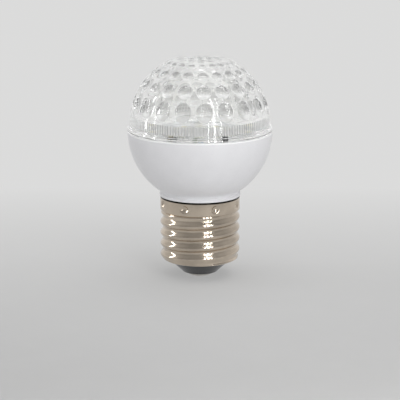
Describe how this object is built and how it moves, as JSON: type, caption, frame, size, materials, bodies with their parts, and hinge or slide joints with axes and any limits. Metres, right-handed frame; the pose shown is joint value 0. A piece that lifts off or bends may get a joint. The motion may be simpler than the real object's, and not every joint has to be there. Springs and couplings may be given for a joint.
{
  "type": "led bulb",
  "caption": "Globe LED bulb with a clear dimpled dome, a white cup and an E27 screw cap, for an E27 lamp holder.",
  "frame": {"origin": "centre of the centre contact's flat tip, the lowest point of the bulb held cap down", "axes": "+Z along the bulb's axis from the cap up through the dome, -Y is the front that the picture shows"},
  "size_m": [0.047, 0.047, 0.0713],
  "materials": {
    "clear_plastic": "clear, polished",
    "white_plastic": "satin white",
    "nickel": "nickel plated, rolled",
    "black_insulator": "gloss black",
    "contact_metal": "tinned",
    "aluminium": "pressed sheet",
    "board_white": "white solder mask",
    "board_green": "green solder mask",
    "black_mould": "matt black",
    "brown_ceramic": "ceramic",
    "green_coat": "lacquered",
    "blue_coat": "lacquered",
    "can_sleeve": "shrink sleeve",
    "ferrite": "ferrite and lacquered copper",
    "led_body": "white frame with yellow phosphor",
    "wire_red": "insulated lead",
    "wire_black": "insulated lead",
    "screw_steel": "zinc plated"
  },
  "bodies": {
    "root": {"clear_cover": "clear_plastic", "lower_housing": "white_plastic", "screw_shell": "nickel", "cap_insulator": "black_insulator", "centre_contact": "contact_metal", "heat_spreader": "aluminium", "led_board": "board_white", "control_chip": "black_mould", "ceramic_capacitor": "brown_ceramic", "dark_resistor": "black_mould", "green_capacitor": "green_coat", "blue_resistor": "blue_coat", "driver_board": "board_green", "filter_capacitor": "can_sleeve", "inductor": "ferrite", "bridge_rectifier": "black_mould", "fusible_resistor": "green_coat", "switching_chip": "black_mould", "positive_pin": "contact_metal", "negative_pin": "contact_metal", "centre_wire": "wire_red", "shell_wire": "wire_black", "led_package_01": "led_body", "led_package_02": "led_body", "led_package_03": "led_body", "led_package_04": "led_body", "led_package_05": "led_body", "led_package_06": "led_body", "led_package_07": "led_body", "led_package_08": "led_body", "led_package_09": "led_body", "led_package_10": "led_body", "led_package_11": "led_body", "led_package_12": "led_body", "board_screw_1": "screw_steel", "board_screw_2": "screw_steel", "board_screw_3": "screw_steel"}
  },
  "joints": []
}
